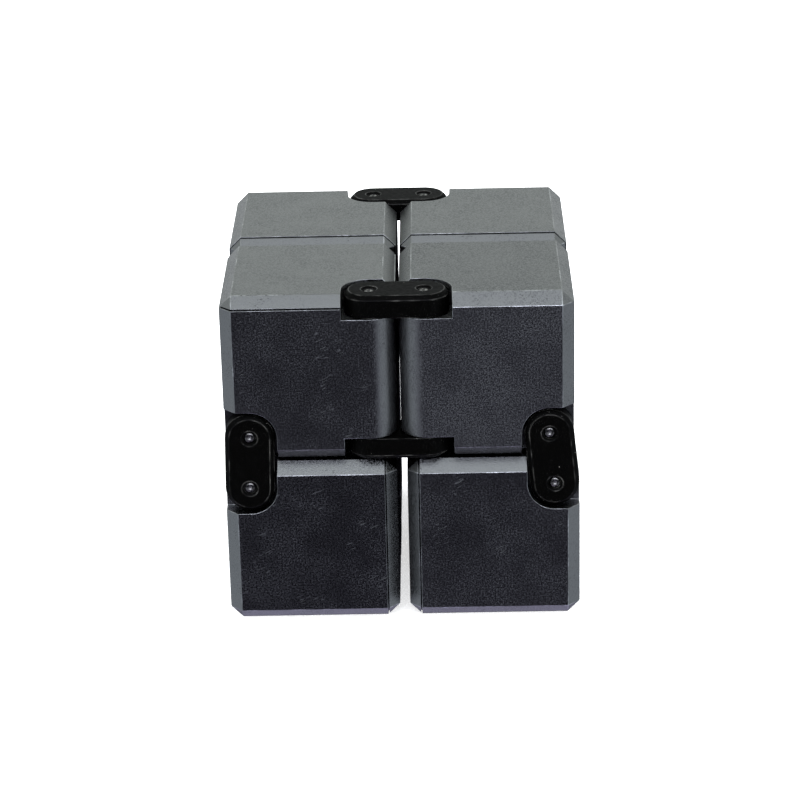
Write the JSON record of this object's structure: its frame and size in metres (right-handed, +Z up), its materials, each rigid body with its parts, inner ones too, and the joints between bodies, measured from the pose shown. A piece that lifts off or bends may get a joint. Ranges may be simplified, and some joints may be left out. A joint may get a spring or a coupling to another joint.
{
  "type": "folding fidget cube",
  "caption": "Pocket fidget toy: small hollow metal cubes joined in a closed ring by double-pivot links, folding endlessly between a cube and flat slabs.",
  "frame": {"origin": "middle of the footprint on the surface that the closed cube stands on", "axes": "+Z up, +X to the right and +Y to the back, seen from the side with the long front link near its top"},
  "size_m": [0.0408, 0.04, 0.04],
  "materials": {
    "shell": "bead-blasted and anodised gunmetal grey, edges worn bright",
    "cover": "bead-blasted and anodised gunmetal grey, edges worn bright",
    "link": "black coated steel, satin",
    "pin": "bare steel, end faces turned"
  },
  "bodies": {
    "upper_back_pair": {"upper_back_left_body": "shell", "upper_back_left_cover": "cover", "back_pin_in_upper_back_left": "pin", "left_back_pin_in_upper_back_left": "pin", "upper_back_right_body": "shell", "upper_back_right_cover": "cover", "right_back_pin_in_upper_back_right": "pin", "back_pin_in_upper_back_right": "pin", "back_link_upper": "link", "back_link_lower": "link"},
    "left_back_links": {"left_back_link_outer": "link", "left_back_link_inner": "link"},
    "lower_back_left": {"lower_back_left_body": "shell", "lower_back_left_cover": "cover", "left_back_pin_in_lower_back_left": "pin", "base_left_pin_in_lower_back_left": "pin"},
    "base_left_links": {"base_left_link_outer": "link", "base_left_link_inner": "link"},
    "lower_front_left": {"lower_front_left_body": "shell", "lower_front_left_cover": "cover", "base_left_pin_in_lower_front_left": "pin", "left_front_pin_in_lower_front_left": "pin"},
    "left_front_links": {"left_front_link_outer": "link", "left_front_link_inner": "link"},
    "upper_front_pair": {"upper_front_left_body": "shell", "upper_front_left_cover": "cover", "front_pin_in_upper_front_left": "pin", "left_front_pin_in_upper_front_left": "pin", "upper_front_right_body": "shell", "upper_front_right_cover": "cover", "front_pin_in_upper_front_right": "pin", "right_front_pin_in_upper_front_right": "pin", "front_link_upper": "link", "front_link_lower": "link"},
    "right_back_links": {"right_back_link_outer": "link", "right_back_link_inner": "link"},
    "lower_back_right": {"lower_back_right_body": "shell", "lower_back_right_cover": "cover", "base_right_pin_in_lower_back_right": "pin", "right_back_pin_in_lower_back_right": "pin"},
    "base_right_links": {"base_right_link_outer": "link", "base_right_link_inner": "link"},
    "lower_front_right": {"lower_front_right_body": "shell", "lower_front_right_cover": "cover", "right_front_pin_in_lower_front_right": "pin", "base_right_pin_in_lower_front_right": "pin"},
    "right_front_links": {"right_front_link_outer": "link", "right_front_link_inner": "link"}
  },
  "joints": [
    {"name": "left_fold", "type": "hinge", "parent": "upper_back_pair", "child": "left_back_links", "pos_m": [-0.01732, 0.0101, 0.0231], "axis": [0, 1, 0], "range_deg": [0, 88.5]},
    {"name": "left_back_lower_pivot", "type": "hinge", "parent": "left_back_links", "child": "lower_back_left", "pos_m": [-0.01748, 0.0101, 0.0169], "axis": [0, 1, 0], "range_deg": [0, 91.5]},
    {"name": "left_front_lower_pivot", "type": "hinge", "parent": "lower_front_left", "child": "left_front_links", "pos_m": [-0.01748, -0.0101, 0.0169], "axis": [0, 1, 0], "range_deg": [-91.5, 0]},
    {"name": "right_fold", "type": "hinge", "parent": "upper_back_pair", "child": "right_back_links", "pos_m": [0.01688, 0.0101, 0.0231], "axis": [0, -1, 0], "range_deg": [0, 84.5]},
    {"name": "right_back_lower_pivot", "type": "hinge", "parent": "right_back_links", "child": "lower_back_right", "pos_m": [0.01748, 0.0101, 0.0169], "axis": [0, -1, 0], "range_deg": [0, 95.5]},
    {"name": "right_front_lower_pivot", "type": "hinge", "parent": "lower_front_right", "child": "right_front_links", "pos_m": [0.01748, -0.0101, 0.0169], "axis": [0, -1, 0], "range_deg": [-95.5, 0]},
    {"name": "left_front_upper_pivot", "type": "hinge", "parent": "left_front_links", "child": "upper_front_pair", "pos_m": [-0.01732, -0.0101, 0.0231], "axis": [0, 1, 0], "range_deg": [-88.5, 0]},
    {"name": "book_fold", "type": "hinge", "parent": "lower_back_left", "child": "base_left_links", "pos_m": [-0.01048, 0.0031, 0.0029], "axis": [1, 0, 0], "range_deg": [0, 90]},
    {"name": "base_left_front_pivot", "type": "hinge", "parent": "base_left_links", "child": "lower_front_left", "pos_m": [-0.01048, -0.0031, 0.0029], "axis": [1, 0, 0], "range_deg": [0, 90]},
    {"name": "base_right_back_pivot", "type": "hinge", "parent": "lower_back_right", "child": "base_right_links", "pos_m": [0.01048, 0.0031, 0.0029], "axis": [1, 0, 0], "range_deg": [0, 90]},
    {"name": "base_right_front_pivot", "type": "hinge", "parent": "base_right_links", "child": "lower_front_right", "pos_m": [0.01048, -0.0031, 0.0029], "axis": [1, 0, 0], "range_deg": [0, 90]}
  ],
  "couplings": [
    {"joint": "left_back_lower_pivot", "follows": "left_fold", "ratio": 1.0339},
    {"joint": "left_front_lower_pivot", "follows": "left_fold", "ratio": -1.0339},
    {"joint": "right_back_lower_pivot", "follows": "right_fold", "ratio": 1.1302},
    {"joint": "right_front_lower_pivot", "follows": "right_fold", "ratio": -1.1302},
    {"joint": "left_front_upper_pivot", "follows": "left_fold", "ratio": -1},
    {"joint": "base_left_front_pivot", "follows": "book_fold", "ratio": 1},
    {"joint": "base_right_back_pivot", "follows": "book_fold", "ratio": 1},
    {"joint": "base_right_front_pivot", "follows": "book_fold", "ratio": 1}
  ]
}
